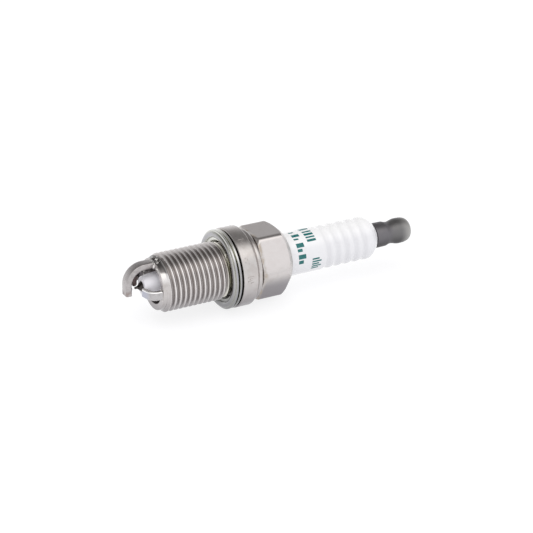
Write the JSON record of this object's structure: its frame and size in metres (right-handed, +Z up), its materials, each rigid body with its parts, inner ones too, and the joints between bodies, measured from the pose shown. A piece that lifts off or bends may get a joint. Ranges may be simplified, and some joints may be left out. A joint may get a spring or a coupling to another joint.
{
  "type": "spark plug",
  "caption": "Long-reach engine spark plug with a fine-wire centre electrode, a hooked main ground electrode, side ground electrodes, a crush gasket and a screw-on terminal nut.",
  "frame": {"origin": "middle of the bounding box's base: under the plug's axis, halfway between the main ground electrode's outer face and the end of the terminal, at the lowest point of the flange", "axes": "+X along the plug's axis towards the terminal, +Z up, with a hexagon flat and the root of the main ground electrode upwards; the axis runs at z = 9.6 mm"},
  "size_m": [0.0766, 0.0192, 0.0192],
  "materials": {
    "nickel_plate": "satin nickel plate over steel, warm grey",
    "zinc_plate": "bright zinc plate over folded steel sheet",
    "nickel_alloy": "drawn nickel alloy with a bare, slightly brown cut end",
    "noble_metal": "welded noble-metal disc",
    "glazed_alumina": "white glaze on the stem, matt alumina on the nose",
    "copper": "bare copper",
    "iridium": "dark fine wire",
    "steel": "plain turned steel",
    "talc": "pressed powder",
    "seal_glass": "sintered metal and glass powder, opaque",
    "carbon_glass": "sintered carbon and glass powder, opaque",
    "dark_nickel": "dark grey satin"
  },
  "bodies": {
    "plug": {"shell": "nickel_plate", "insulator": "glazed_alumina", "seat_packing_washer": "copper", "wire_ring_front": "steel", "wire_ring_rear": "steel", "talc_packing": "talc", "centre_electrode": "nickel_alloy", "centre_electrode_core": "copper", "centre_electrode_tip": "iridium", "lower_glass_seal": "seal_glass", "resistor": "carbon_glass", "upper_glass_seal": "seal_glass", "terminal_stud": "steel", "ground_electrode_main": "nickel_alloy", "ground_electrode_core": "copper", "ground_electrode_pad": "noble_metal", "side_electrode_left": "nickel_alloy", "side_electrode_right": "nickel_alloy"},
    "gasket": {"gasket": "zinc_plate"},
    "terminal_nut": {"terminal_nut": "dark_nickel"}
  },
  "joints": [
    {"name": "gasket_float", "type": "slide", "parent": "plug", "child": "gasket", "axis": [-1, 0, 0], "range_m": [-0.00025, 0.0014]},
    {"name": "terminal_nut_unscrew", "type": "slide", "parent": "plug", "child": "terminal_nut", "axis": [1, 0, 0], "range_m": [0, 0.009]}
  ]
}
